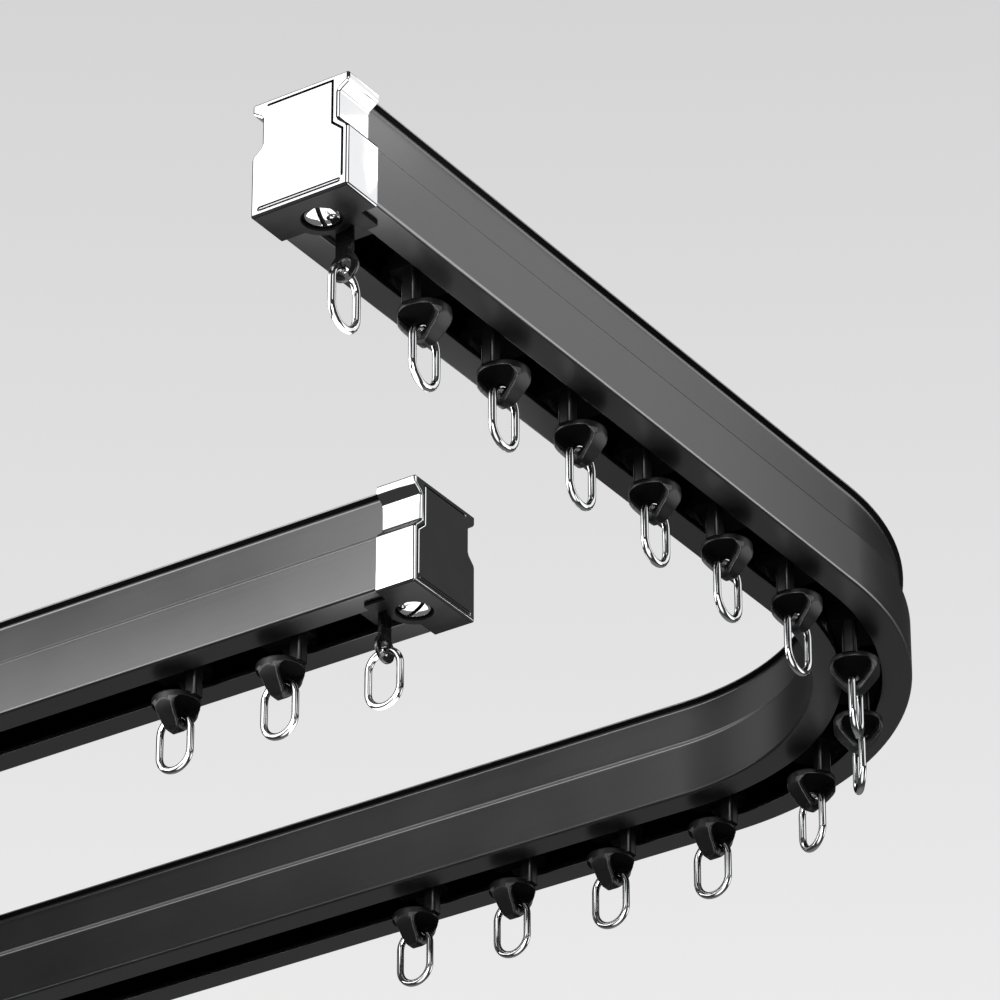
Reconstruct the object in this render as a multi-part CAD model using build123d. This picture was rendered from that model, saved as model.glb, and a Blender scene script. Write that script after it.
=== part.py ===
from build123d import *
from math import cos, radians, sin, sqrt
import os

# A curtain track made of one hand-bent aluminium rail that hangs from the ceiling.
# Millimetres. The origin is on the rail's top face at the middle of the back run,
# +X runs along the back run to the corner bend, +Y points to the wall and +Z is up.

# Layout of the bent rail, on its centre line
front_run = 192.0
back_run = 217.5
inner_run = 214.5
corner_radius = 77.5
return_radius = 62.2

# Rail section
rail_height = 26.4
body_width = 23.6
neck_width = 18.6
flange_width = 21.0
flange_thickness = 0.35
flange_slope = 1.05
neck_depth = 10.5
shoulder_drop = 2.25
rail_wall = 1.2
lip_thickness = 1.5
slot_width = 9.4

# End cap
cap_length = 10.86
cap_above = 0.7
cap_below = 0.9
cap_side = 0.44
cap_notch_inset = 2.54
cap_flange_height = 2.34
cap_flange_chamfer = 1.78
cap_notch_height = 6.82
cap_shoulder_drop = 2.24
cap_edge = 0.45
cap_groove_inset = 1.2
cap_groove_width = 0.5
cap_groove_depth = 0.35
plug_length = 8.0
plug_clearance = 0.15
plug_rise = 6.4

# Screw, its boss on the cap and the clamp plate that it pulls down on the lips
screw_inset = 8.45
boss_radius = 6.3
boss_sides = 32
recess_radius = 4.4
recess_depth = 1.3
head_radius = 3.9
head_height = 1.5
head_edge = 0.9
drive_width = 1.0
drive_depth = 0.8
shank_radius = 2.4
screw_clearance = 0.1
head_sides = 14
shank_sides = 8
slot_clearance = 0.2
weld = 1.0
seat_gap = 0.02
plate_width = 14.0
plate_thickness = 2.4
plate_back = 4.0
plate_front = 11.0
tongue_width = 4.2
tongue_reach = 6.2
tongue_inset = 0.6

# End hook
hook_setback = 5.85
hook_thickness = 0.9
hook_head_width = 10.4
hook_head_height = 1.6
hook_neck_width = 4.4
hook_eye_radius = 3.55
hook_eye_hole = 1.8
hook_eye_sides = 20
hook_eye_drop = 8.2

# Wire ring
ring_width = 10.6
ring_length = 16.0
wire_diameter = 1.5
wire_sides = 5
ring_bend_steps = 5
end_ring_drop = 8.1
ring_drop = 7.0

# Glider
carriage_length = 13.8
carriage_width = 9.8
carriage_drop = 2.0
carriage_top = 2.4
post_radius = 1.8
post_offset = 5.0
disc_radius = 5.8
disc_thickness = 1.3
disc_sides = 14
post_sides = 8
disc_drop = 4.5
loop_drops = (-0.65, 0.0, 1.8, 3.9, 5.6, 6.5)
loop_across = (5.8, 5.8, 4.9, 3.4, 1.9, 0.8)
loop_along = (5.8, 5.2, 4.0, 2.3, 1.85, 0.8)
loop_strap = 2.6
loop_hole_radius = 1.0
loop_hole_corner = 0.35
loop_hole_half = 3.9
loop_sides = 8

# Wheelset
wheel_radius = 4.2
wheel_width = 3.4
wheel_gap = 0.4
wheel_sides = 10
roll_clearance = 0.1
axle_radius = 1.0
axle_sides = 12
axle_clearance = 0.05

# Where the gliders are parked
front_count = 6
first_gap = 35.1
last_gap = 7.35
corner_angles = (18.9, 40.1, 63.5, 88.9)
back_gap = 27.8
back_pitch = 28.9
back_count = 3
inner_pitch = 29.9
inner_count = 2

# Derived places
half_back = back_run / 2
front_x = half_back + corner_radius
front_end_y = -corner_radius - front_run
inner_y = -2 * return_radius
inner_end_x = inner_run - half_back
lip_top = lip_thickness - rail_height
rail_bottom = -rail_height
cap_bottom = rail_bottom - cap_below
axle_z = lip_top + roll_clearance + wheel_radius
disc_z = rail_bottom - disc_drop
along_x = Plane(origin=(0, 0, 0), x_dir=(0, 1, 0), z_dir=(1, 0, 0))
along_y = Plane(origin=(0, 0, 0), x_dir=(-1, 0, 0), z_dir=(0, 1, 0))


def mirrored(points):
    """Close a half outline, listed from the centre plane outwards, with its mirror image."""
    return points + [(-u, v) for u, v in reversed(points) if u > 0]


def shifted(plane, x, y, z=0.0):
    return Plane(origin=(x, y, z), x_dir=plane.x_dir, z_dir=plane.z_dir)


def rail_section():
    """Channel with a clip flange, a clip recess, a shoulder and two lips beside the slot."""
    flange, neck, body = flange_width / 2, neck_width / 2, body_width / 2
    slope = shoulder_drop / (body - neck)
    inner_offset = rail_wall * sqrt(1 + slope**2)
    outside = [
        (0, 0),
        (flange, 0),
        (flange, -flange_thickness),
        (neck, -flange_thickness - flange_slope),
        (neck, -neck_depth),
        (body, -neck_depth - shoulder_drop),
        (body, rail_bottom),
        (slot_width / 2, rail_bottom),
        (slot_width / 2, lip_top),
    ]

    def inner_shoulder(u):
        return -neck_depth - slope * (u - neck) - inner_offset

    inside = [
        (0, -rail_wall),
        (neck - rail_wall, -rail_wall),
        (neck - rail_wall, inner_shoulder(neck - rail_wall)),
        (body - rail_wall, inner_shoulder(body - rail_wall)),
        (body - rail_wall, lip_top),
    ]
    half = make_face(Polyline(*outside, *reversed(inside), close=True))
    return half + mirror(half, Plane.YZ)


def straight_rail(plane, length):
    return extrude(plane * rail_section(), length)


def bent_rail(plane, centre, turn):
    return revolve(plane * rail_section(), Axis(centre, (0, 0, 1)), turn)


def cap_outline():
    """The rail's outline again, a little larger all round."""
    body = body_width / 2 + cap_side
    notch = body - cap_notch_inset
    flange_bottom = cap_above - cap_flange_height
    notch_top = flange_bottom - cap_flange_chamfer
    notch_bottom = notch_top - cap_notch_height
    half = [
        (0, cap_above),
        (body, cap_above),
        (body, flange_bottom),
        (notch, notch_top),
        (notch, notch_bottom),
        (body, notch_bottom - cap_shoulder_drop),
        (body, cap_bottom),
        (0, cap_bottom),
    ]
    return make_face(Polyline(*mirrored(half), close=True))


def block(x0, x1, y0, y1, z0, z1):
    """A box given by its low and high corners."""
    box = Box(x1 - x0, y1 - y0, z1 - z0, align=(Align.MIN, Align.MIN, Align.MIN))
    return Pos(x0, y0, z0) * box


def flat_sided(radius, sides, x, y, z0, z1):
    """An upright post or disc between two heights, its round side drawn with flats."""
    return extrude(Pos(x, y, z0) * RegularPolygon(radius, sides), z1 - z0)


def hull_of(*shapes):
    """The outline stretched round several flat shapes."""
    return make_hull([edge for shape in shapes for edge in shape.edges()])


def end_cap(tongue_side):
    """Cap at the local origin: the rail's end face lies at y 0 and the rail runs on to +y."""
    face_y = -cap_length
    screw_y = face_y + screw_inset
    start = shifted(along_y, 0, face_y)
    cap = extrude(start * cap_outline(), cap_length)
    front = cap.faces().sort_by(Axis.Y)[0]
    cap = chamfer(front.edges(), cap_edge)

    ring = offset(cap_outline(), -cap_groove_inset, kind=Kind.INTERSECTION)
    panel = offset(cap_outline(), -cap_groove_inset - cap_groove_width, kind=Kind.INTERSECTION)
    cap -= extrude(start * (ring - panel), cap_groove_depth)

    plug_half = neck_width / 2 - rail_wall - plug_clearance
    plug_top = -rail_wall - plug_clearance
    plug_low = rail_bottom + plug_rise
    cap += block(-plug_half, plug_half, -weld, plug_length, plug_low, plug_top)

    foot_top = rail_bottom - seat_gap
    boss_end = screw_y + boss_radius
    boss = flat_sided(boss_radius, boss_sides, 0, screw_y, cap_bottom, foot_top)
    cap += boss & block(-boss_radius, boss_radius, -weld, boss_end, cap_bottom, foot_top)
    slot_half = slot_width / 2 - slot_clearance
    key = flat_sided(boss_radius, boss_sides, 0, screw_y, cap_bottom, lip_top)
    cap += key & block(-slot_half, slot_half, -weld, boss_end, cap_bottom, lip_top)
    inner = slot_width / 2 - tongue_inset
    tongue = block(inner, inner + tongue_width, -weld, tongue_reach, cap_bottom, foot_top)
    tongue = chamfer(tongue.edges().filter_by(Axis.Z).group_by(Axis.Y)[-1], tongue_inset)
    cap += tongue if tongue_side > 0 else mirror(tongue, Plane.YZ)

    half_plate = plate_width / 2 + slot_clearance
    pocket_y = screw_y - plate_back - slot_clearance
    pocket_top = lip_top + plate_thickness + hook_head_height + slot_clearance
    cap -= block(-half_plate, half_plate, pocket_y, plug_length, lip_top, pocket_top)
    recess_top = cap_bottom + recess_depth
    cap -= flat_sided(recess_radius, boss_sides, 0, screw_y, cap_bottom, recess_top)
    hole_radius = shank_radius + screw_clearance
    cap -= flat_sided(hole_radius, shank_sides, 0, screw_y, cap_bottom, lip_top)
    return cap


def cap_screw(drive_angle):
    """Slotted dome-head screw, head down in the recess of the cap."""
    screw_y = screw_inset - cap_length
    seat = cap_bottom + recess_depth
    crown_z = seat - head_height
    rim = Pos(0, screw_y, crown_z + head_edge) * RegularPolygon(head_radius, head_sides)
    crown = Pos(0, screw_y, crown_z) * RegularPolygon(head_radius - head_edge, head_sides)
    head = loft([crown, rim], ruled=True)
    head += flat_sided(head_radius, head_sides, 0, screw_y, crown_z + head_edge, seat)
    bar = Box(2 * head_radius, drive_width, 2 * drive_depth)
    head -= Pos(0, screw_y, crown_z) * (Rot(0, 0, 90 + drive_angle) * bar)
    shank_top = lip_top + plate_thickness + screw_clearance
    return head + flat_sided(shank_radius, shank_sides, 0, screw_y, seat, shank_top)


def clamp_plate():
    """Steel plate across the lips, tapped for the screw and slotted for the end hook."""
    screw_y = screw_inset - cap_length
    half = plate_width / 2
    low = lip_top + seat_gap
    high = low + plate_thickness
    plate = block(-half, half, screw_y - plate_back, plate_front, low, high)
    plate -= flat_sided(shank_radius + screw_clearance, shank_sides, 0, screw_y, low, high)
    gap = hook_thickness / 2 + screw_clearance
    width = hook_neck_width / 2 + screw_clearance
    slit = block(-width, width, hook_setback - gap, hook_setback + gap, low, high)
    return plate - slit


def end_hook():
    """Flat stamped hanger: a head over the clamp plate, a neck in the slot and a round eye."""
    head_z = lip_top + plate_thickness + 2 * seat_gap
    eye_z = rail_bottom - hook_eye_drop
    head = Pos(0, head_z + hook_head_height / 2) * Rectangle(hook_head_width, hook_head_height)
    neck_top = head_z + hook_head_height / 2
    neck = Pos(0, (neck_top + eye_z) / 2) * Rectangle(hook_neck_width, neck_top - eye_z)
    shape = head + neck + Pos(0, eye_z) * RegularPolygon(hook_eye_radius, hook_eye_sides)
    shape -= Pos(0, eye_z) * RegularPolygon(hook_eye_hole, hook_eye_sides)
    return extrude(shifted(along_y, 0, hook_setback) * shape, hook_thickness / 2, both=True)


def wire_ring(top_z):
    """Oval wire link in the plane of the track, its round wire and bends drawn with flats."""
    wire = wire_diameter / 2
    bend = ring_width / 2 - wire
    upper = top_z - ring_width / 2
    lower = top_z - ring_length + ring_width / 2
    steps = [180 / ring_bend_steps * step for step in range(ring_bend_steps + 1)]
    over = [(0, bend * cos(radians(a)), upper + bend * sin(radians(a))) for a in steps]
    under = [(0, -bend * cos(radians(a)), lower - bend * sin(radians(a))) for a in steps]
    middle = (0, bend, (upper + lower) / 2)
    path = Polyline(middle, *over, *under, close=True)
    start = Plane(origin=middle, z_dir=(0, 0, 1))
    return sweep(start * RegularPolygon(wire, wire_sides), path=path, transition=Transition.RIGHT)


def loop_face(half_widths):
    """One view of the loop below the disc: half widths at the drops, and their mirror image."""
    low_disc = disc_z - disc_thickness
    half = [(width, low_disc - drop) for width, drop in zip(half_widths, loop_drops)]
    return make_face(Polyline(*mirrored(half), close=True))


def glider():
    """Moulded carriage with its post, disc and hanging loop, facing local +y."""
    half = carriage_length / 2
    carriage_z = axle_z - carriage_drop
    body = block(
        -carriage_width / 2, carriage_width / 2, -half, half, carriage_z, axle_z + carriage_top
    )
    post_low = disc_z - disc_thickness / 2
    body += flat_sided(post_radius, post_sides, 0, -post_offset, post_low, axle_z)
    body += flat_sided(disc_radius, disc_sides, 0, 0, disc_z - disc_thickness, disc_z)

    low_disc = disc_z - disc_thickness
    loop_low = low_disc - loop_drops[-1]
    loop = extrude(along_y * loop_face(loop_across), disc_radius, both=True)
    loop &= extrude(along_x * loop_face(loop_along), disc_radius, both=True)
    loop &= flat_sided(disc_radius, disc_sides, 0, 0, loop_low, disc_z)
    hole_u = loop_hole_half - loop_hole_corner
    hole_z = low_disc - loop_hole_corner
    seat = Pos(0, loop_low + loop_strap + loop_hole_radius) * RegularPolygon(loop_hole_radius, loop_sides)
    corner = Rectangle(2 * loop_hole_corner, 2 * loop_hole_corner)
    hole = hull_of(seat, Pos(hole_u, hole_z) * corner, Pos(-hole_u, hole_z) * corner)
    body += loop - extrude(along_y * hole, disc_radius, both=True)
    bore = along_x * RegularPolygon(axle_radius + axle_clearance, axle_sides)
    return body - Pos(0, 0, axle_z) * extrude(bore, carriage_width / 2, both=True)


def wheelset():
    """Two wheels on one axle, turned as one piece."""
    inner = carriage_width / 2 + wheel_gap
    rim = RegularPolygon(wheel_radius, wheel_sides)
    wheel = extrude(shifted(along_x, inner, 0) * rim, wheel_width)
    axle = extrude(along_x * RegularPolygon(axle_radius, axle_sides), inner, both=True)
    return Pos(0, 0, axle_z) * (wheel + mirror(wheel, Plane.YZ) + axle)


def glider_places():
    """Each glider's place on the track: x, y and its turn about the vertical."""
    front_pitch = (front_run - first_gap - last_gap) / (front_count - 1)
    places = []
    for i in range(front_count):
        places.append((front_x, front_end_y + first_gap + i * front_pitch, 0))
    for angle in corner_angles:
        x = half_back + corner_radius * cos(radians(angle))
        y = -corner_radius + corner_radius * sin(radians(angle))
        places.append((x, y, angle))
    for i in range(back_count):
        places.append((half_back - back_gap - i * back_pitch, 0, 90))
    for i in reversed(range(inner_count)):
        places.append((inner_end_x - first_gap - i * inner_pitch, inner_y, 90))
    return places


def save(part, name, place=Pos(0, 0, 0)):
    export_step(place * part, f"parts/{name}.step")


def save_rail():
    corner_centre = (half_back, -corner_radius, 0)
    return_centre = (-half_back, -return_radius, 0)
    front_start = shifted(along_y, front_x, front_end_y)
    corner_start = shifted(along_y, front_x, -corner_radius)
    save(straight_rail(front_start, front_run), "rail_front_run")
    save(bent_rail(corner_start, corner_centre, 90), "rail_corner_bend")
    save(straight_rail(shifted(along_x, -half_back, 0), back_run), "rail_back_run")
    save(bent_rail(shifted(along_x, -half_back, 0), return_centre, 180), "rail_return_bend")
    save(straight_rail(shifted(along_x, -half_back, inner_y), inner_run), "rail_inner_run")


def save_ends():
    front = Pos(front_x, front_end_y, 0)
    inner = Pos(inner_end_x, inner_y, 0) * Rot(0, 0, 90)
    end_ring = wire_ring(rail_bottom - end_ring_drop)
    for end, place, side, drive in (("front", front, 1, 20), ("inner", inner, -1, -24)):
        save(end_cap(side), f"end_cap_{end}", place)
        save(cap_screw(drive), f"cap_screw_{end}", place)
        save(clamp_plate(), f"clamp_plate_{end}", place)
        save(end_hook(), f"end_hook_{end}", place)
        save(end_ring, f"end_ring_{end}", place * Pos(0, hook_setback, 0))


def save_gliders():
    one_glider, one_wheelset = glider(), wheelset()
    one_ring = wire_ring(rail_bottom - ring_drop)
    for number, (x, y, turn) in enumerate(glider_places(), start=1):
        place = Pos(x, y, 0) * Rot(0, 0, turn)
        save(one_glider, f"glider_{number:02d}", place)
        save(one_wheelset, f"wheelset_{number:02d}", place)
        save(one_ring, f"ring_{number:02d}", place)


os.makedirs("parts", exist_ok=True)
save_rail()
save_ends()
save_gliders()
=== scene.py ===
from math import cos, pi, radians, sin, sqrt

import bmesh
import bpy
from mathutils import Euler, Matrix, Vector


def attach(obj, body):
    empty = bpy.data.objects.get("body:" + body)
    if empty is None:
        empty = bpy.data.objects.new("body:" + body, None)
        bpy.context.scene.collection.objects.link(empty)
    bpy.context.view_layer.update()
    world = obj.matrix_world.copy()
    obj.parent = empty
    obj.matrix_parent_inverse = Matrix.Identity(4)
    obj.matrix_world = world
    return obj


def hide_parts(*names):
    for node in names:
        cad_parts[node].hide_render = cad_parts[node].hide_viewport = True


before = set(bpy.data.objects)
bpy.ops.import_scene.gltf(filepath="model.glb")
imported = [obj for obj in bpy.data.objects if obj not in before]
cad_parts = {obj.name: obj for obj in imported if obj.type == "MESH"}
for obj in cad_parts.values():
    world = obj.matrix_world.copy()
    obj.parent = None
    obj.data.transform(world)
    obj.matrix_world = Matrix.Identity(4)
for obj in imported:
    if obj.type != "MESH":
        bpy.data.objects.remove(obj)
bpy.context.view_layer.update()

# A curtain track of one hand-bent aluminium rail, its gliders with wire rings, and its ends.
# Sizes are in millimetres, in the CAD's own frame; mm() turns them into the scene's metres.
MM = 0.001
# Two places closer than this, in metres, count as the same
CLOSE = 1e-5

# Layout of the bent rail on its centre line
FRONT_RUN = 192.0
BACK_RUN = 217.5
INNER_RUN = 214.5
CORNER_RADIUS = 77.5
RETURN_RADIUS = 62.2
HALF_BACK = BACK_RUN / 2
FRONT_X = HALF_BACK + CORNER_RADIUS
FRONT_END_Y = -CORNER_RADIUS - FRONT_RUN
INNER_Y = -2 * RETURN_RADIUS
INNER_END_X = INNER_RUN - HALF_BACK
CORNER_STEPS = 45
RETURN_STEPS = 80

# Rail section: half widths from the centre line, and heights from the top of the flange
RAIL_HEIGHT = 26.4
BODY = 23.6 / 2
NECK = 18.6 / 2
FLANGE = 21.0 / 2
FLANGE_EDGE = 0.35
FLANGE_DEPTH = 1.4
NECK_DEPTH = 10.5
SHOULDER_DROP = 2.25
SHOULDER_FOOT = -NECK_DEPTH - SHOULDER_DROP
WALL = 1.2
LIP = 1.5
SLOT = 9.4 / 2
RAIL_BOTTOM = -RAIL_HEIGHT
LIP_TOP = RAIL_BOTTOM + LIP
# The section's rounded corners: half width, height, radius and segments
BOTTOM_ROUNDING = 0.7
RAIL_ROUNDINGS = (
    (FLANGE, 0, 0.08, 2),
    (FLANGE, -FLANGE_EDGE, 0.05, 1),
    (NECK, -FLANGE_DEPTH, 0.4, 4),
    (NECK, -NECK_DEPTH, 0.3, 2),
    (BODY, SHOULDER_FOOT, 0.35, 4),
    (BODY, RAIL_BOTTOM, BOTTOM_ROUNDING, 5),
    (SLOT, RAIL_BOTTOM, 0.18, 2),
    (SLOT, LIP_TOP, 0.18, 2),
)

# End cap
CAP_LENGTH = 10.86
CAP_HALF = 12.24
CAP_NOTCH = 9.7
CAP_TOP = 0.7
CAP_BOTTOM = -27.3
CAP_FLANGE_BOTTOM = -1.64
CAP_NOTCH_TOP = -3.42
CAP_NOTCH_BOTTOM = -10.24
CAP_SHOULDER = -12.48
CAP_EDGE = 0.45
FOOT_TOP = RAIL_BOTTOM - 0.02
BOSS_RADIUS = 6.3
PLUG_HALF = 7.95
PLUG_LENGTH = 8.0
PLUG_TOP = -1.35
PLUG_BOTTOM = -20.0
TONGUE_NEAR = 4.1
TONGUE_FAR = 8.3
TONGUE_LENGTH = 6.2
RECESS_RADIUS = 4.4
RECESS_DEPTH = 1.3
BORE_RADIUS = 2.5
# Panel groove in the end face: its outer side down, its inner side back up, and its far end
PANEL_GROOVE_DEPTH = 0.6
PANEL_OUTER = ((8.4, -0.5), (8.4, -10.95), (11.0, -13.2), (11.0, -24.75))
PANEL_INNER = ((10.62, -24.75), (10.62, -13.35), (8.02, -11.1), (8.02, -0.88))
PANEL_END = -8.3
# Slot-shaped groove along the foot of the end face, round a thin island
FOOT_GROOVE_DEPTH = 0.25
FOOT_GROOVE = (10.35, -25.2, -26.2)
FOOT_ISLAND = (10.05, -25.5, -25.9)

# Cap screw
SCREW_Y = 8.45 - CAP_LENGTH
DOME_RADIUS = 4.12
DOME_FOOT = -26.3
DOME_HEIGHT = 1.2
DOME_STEPS = 8
HEAD_TOP = -26.0
SHANK_RADIUS = 2.4
SHANK_TOP = -22.3
SHANK_CHAMFER = 0.5
# The slot for the driver: its floor, and its cutter's length, width and height
DRIVE_FLOOR = -26.7
DRIVE_CUTTER = (9, 1.0, 1.6)

# End hook and its ring
HOOK_Y = 5.85
HOOK_THICKNESS = 0.9
HOOK_HEAD_HALF = 5.2
HOOK_HEAD_LOW = LIP_TOP + 2.44
HOOK_HEAD_TOP = LIP_TOP + 4.04
HOOK_NECK_HALF = 2.2
HOOK_EYE_Z = RAIL_BOTTOM - 8.2
HOOK_EYE_RADIUS = 3.55
# The neck ends this far above the eye's centre, and the eye's round starts at this angle from the
# vertical, in radians
HOOK_EYE_RISE = 4.6
HOOK_EYE_OPENING = 0.66
HOOK_EYE_STEPS = 28
HOOK_HOLE_RADIUS = 1.8
END_RING_TOP = RAIL_BOTTOM - 7.84

# Glider, wheels and ring
WHEEL_RADIUS = 4.2
AXLE_Z = LIP_TOP + 0.1 + WHEEL_RADIUS
CARRIAGE_HALF_LENGTH = 13.8 / 2
CARRIAGE_HALF_WIDTH = 4.9
CARRIAGE_LOW = AXLE_Z - 2.0
CARRIAGE_HIGH = AXLE_Z + 2.4
AXLE_BORE_RADIUS = 1.05
DISC_RADIUS = 5.8
DISC_TOP = RAIL_BOTTOM - 3.8
DISC_BOTTOM = DISC_TOP - 1.4
POST_HALF_X = 1.75
POST_HALF_Y = 1.65
POST_SET_BACK = 5.0
POST_FOOT = DISC_TOP - 0.65
POST_HEAD = CARRIAGE_LOW + 0.5
LOOP_HALF = 6.4
# Outlines of the strap under the disc, from the front and from the side: half width and depth
STRAP_FRONT = (
    (6.3, -0.3),
    (5.95, 0.4),
    (5.5, 1.4),
    (4.9, 2.5),
    (4.2, 3.5),
    (3.35, 4.5),
    (2.5, 5.5),
    (1.75, 6.3),
    (0.9, 6.9),
    (0.3, 7.1),
)
STRAP_SIDE = (
    (5.0, 0.0),
    (3.7, 0.45),
    (2.85, 1.1),
    (2.45, 2.0),
    (2.25, 3.4),
    (2.05, 5.2),
    (1.7, 6.4),
    (1.0, 7.0),
    (0.3, 7.12),
)
LOOP_OPENING = ((4.4, 0), (4.1, 0.9), (2.95, 2.5), (1.35, 4.3), (0.6, 4.8))
RING_TOP = RAIL_BOTTOM - 7.0
RING_HALF = 10.6 / 2
RING_LENGTH = 16.0
WIRE = 1.76 / 2
WIRE_SIDES = 20
RING_BEND_STEPS = 22
# Half of the wheelset's profile, from one wheel's hub to the axle: place along it and radius
WHEEL_PROFILE = (
    (8.7, 0.0),
    (8.7, 1.5),
    (8.1, 1.7),
    (8.1, 3.0),
    (8.7, 3.3),
    (8.7, 3.85),
    (8.45, 4.15),
    (7.9, WHEEL_RADIUS),
    (6.1, WHEEL_RADIUS),
    (5.55, 4.15),
    (5.3, 3.85),
    (5.3, 1.6),
    (5.0, 1.0),
)

# Where the gliders are parked
FRONT_COUNT = 6
FRONT_FIRST = 35.1
FRONT_LAST = 7.35
CORNER_ANGLES = (18.9, 40.1, 63.5, 88.9)
BACK_FIRST = 27.8
BACK_PITCH = 28.9
BACK_COUNT = 3
INNER_PITCH = 29.9


def mm(x, y, z):
    """A place or a move in millimetres, as the scene's metres."""
    return Vector((x, y, z)) * MM


def at(place, size):
    """Whether a coordinate in metres is at a size in millimetres."""
    return abs(place - size * MM) < CLOSE


# ---------------------------------------------------------------- shader maths


class Signal:
    """A socket in a node tree. Sums written on it become Math nodes."""

    def __init__(self, tree, socket=None):
        self.tree = tree
        self.socket = socket

    def node(self, kind, settings=None, inputs=None, out=0):
        """Add a node: its settings first, then its sockets, and give back one of its outputs."""
        made = self.tree.nodes.new(kind)
        for name, value in (settings or {}).items():
            setattr(made, name, value)
        for name, value in (inputs or {}).items():
            if isinstance(value, Signal):
                self.tree.links.new(value.socket, made.inputs[name])
            else:
                made.inputs[name].default_value = value
        if made.outputs:
            return Signal(self.tree, made.outputs[out])

    def maths(self, operation, first, second):
        return self.node("ShaderNodeMath", {"operation": operation}, {0: first, 1: second})

    def __add__(self, other):
        return self.maths("ADD", self, other)

    def __radd__(self, other):
        return self.maths("ADD", other, self)

    def __sub__(self, other):
        return self.maths("SUBTRACT", self, other)

    def __rsub__(self, other):
        return self.maths("SUBTRACT", other, self)

    def __mul__(self, other):
        return self.maths("MULTIPLY", self, other)

    def __rmul__(self, other):
        return self.maths("MULTIPLY", other, self)


def new_finish(name, colour, **sockets):
    """A new material: its constants on the shader, and the place on the piece as a signal."""
    material = bpy.data.materials.new(name)
    material.use_nodes = True
    material.diffuse_color = (*colour, 1)
    shader = material.node_tree.nodes["Principled BSDF"]
    shader.inputs["Base Color"].default_value = (*colour, 1)
    for socket, value in sockets.items():
        shader.inputs[socket.replace("_", " ")].default_value = value
    start = Signal(material.node_tree)
    place = start.node("ShaderNodeTexCoord", out="Object")
    return material, shader, place


def noise(place, stretch, scale, detail=2.0, roughness=0.5):
    """Noise from 0 to 1 on a place stretched by x, y and z."""
    at = place.node(
        "ShaderNodeMapping", {"vector_type": "POINT"}, {"Vector": place, "Scale": stretch}
    )
    return place.node(
        "ShaderNodeTexNoise",
        {"noise_dimensions": "3D"},
        {"Vector": at, "Scale": scale, "Detail": detail, "Roughness": roughness},
    )


def drive(shader, socket, signal):
    signal.tree.links.new(signal.socket, shader.inputs[socket])


def relief(shader, height, depth, strength):
    """Bump of the given depth in metres."""
    sockets = {"Height": height, "Distance": depth, "Strength": strength}
    drive(shader, "Normal", height.node("ShaderNodeBump", None, sockets))


def mixed(share, first, second):
    """A colour between two, by a share from 0 to 1."""
    return share.node(
        "ShaderNodeMix",
        {"data_type": "RGBA"},
        {"Factor": share, "A": (*first, 1), "B": (*second, 1)},
        out="Result",
    )


def make_rail_black():
    """Satin black anodised extrusion, with faint die lines that run along every run and bend."""
    material, shader, place = new_finish("rail_black", (0.12, 0.12, 0.122), Metallic=1.0)
    lines = noise(place, (8, 8, 2600), 1.0, 3.0, 0.6)
    cloud = noise(place, (1, 1, 1), 38.0, 3.0)
    grain = noise(place, (1, 1, 1), 5200.0, 1.0)
    share = cloud * 0.6 + lines * 0.4
    drive(shader, "Base Color", mixed(share, (0.115, 0.115, 0.116), (0.16, 0.16, 0.162)))
    drive(shader, "Roughness", lines * 0.05 + cloud * 0.07 + 0.25)
    relief(shader, lines * 0.5 + grain * 0.5, 0.000012, 0.5)
    return material


def make_rail_painted_shade():
    """Painted shade: the rail's metal made near black inside the channel and under the flange, where
    shade falls.
    """
    material, shader, place = new_finish("rail_painted_shade", (0.012, 0.012, 0.012), Metallic=1.0)
    lines = noise(place, (8, 8, 2600), 1.0, 3.0)
    drive(shader, "Base Color", mixed(lines, (0.009, 0.009, 0.009), (0.016, 0.016, 0.016)))
    drive(shader, "Roughness", lines * 0.08 + 0.4)
    return material


def make_rail_painted_highlight():
    """Painted highlight: the flange's thin edge and the body's lower corner painted paler, where they
    catch the light.
    """
    material, shader, place = new_finish("rail_painted_highlight", (0.3, 0.3, 0.3), Metallic=1.0)
    highlight_spread = noise(place, (1, 1, 1), 120.0, 3.0)
    drive(shader, "Base Color", mixed(highlight_spread, (0.24, 0.24, 0.24), (0.36, 0.36, 0.36)))
    drive(shader, "Roughness", highlight_spread * 0.1 + 0.28)
    return material


def make_chrome(name, rough):
    """Bright plating: nearly a mirror, with a faint waviness of the polished metal below."""
    material, shader, place = new_finish(name, (0.86, 0.87, 0.88), Metallic=1.0)
    haze = noise(place, (1, 1, 1), 160.0, 3.0)
    wave = noise(place, (1, 1, 1), 210.0, 1.0)
    drive(shader, "Base Color", mixed(haze, (0.82, 0.83, 0.85), (0.91, 0.915, 0.92)))
    drive(shader, "Roughness", haze * 0.03 + rough)
    relief(shader, wave, 0.00003, 0.15)
    return material


def make_cap_painted_shade():
    """Painted shade: a near-black copy of the plating on the cap's underside and on its faces behind
    the end face.
    """
    material, shader, place = new_finish("cap_painted_shade", (0.03, 0.03, 0.031), Metallic=1.0)
    blotch = noise(place, (1, 1, 1), 190.0, 2.0)
    grain = noise(place, (1, 1, 1), 4200.0, 2.0)
    drive(shader, "Base Color", mixed(blotch, (0.02, 0.02, 0.021), (0.04, 0.04, 0.042)))
    drive(shader, "Roughness", blotch * 0.12 + grain * 0.05 + 0.24)
    relief(shader, grain, 0.00001, 0.4)
    return material


def make_painted_shade_line():
    """Painted shade: the fine black line on a groove's walls and floor, the cap's screw recess, the
    screw's slot, the cap's shoulder and its softened edges.
    """
    material, shader, place = new_finish(
        "painted_shade_line", (0.004, 0.004, 0.004), Specular_IOR_Level=0.1
    )
    haze = noise(place, (1, 1, 1), 700.0, 2.0)
    drive(shader, "Base Color", mixed(haze, (0.003, 0.003, 0.003), (0.006, 0.006, 0.006)))
    drive(shader, "Roughness", haze * 0.1 + 0.4)
    return material


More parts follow.
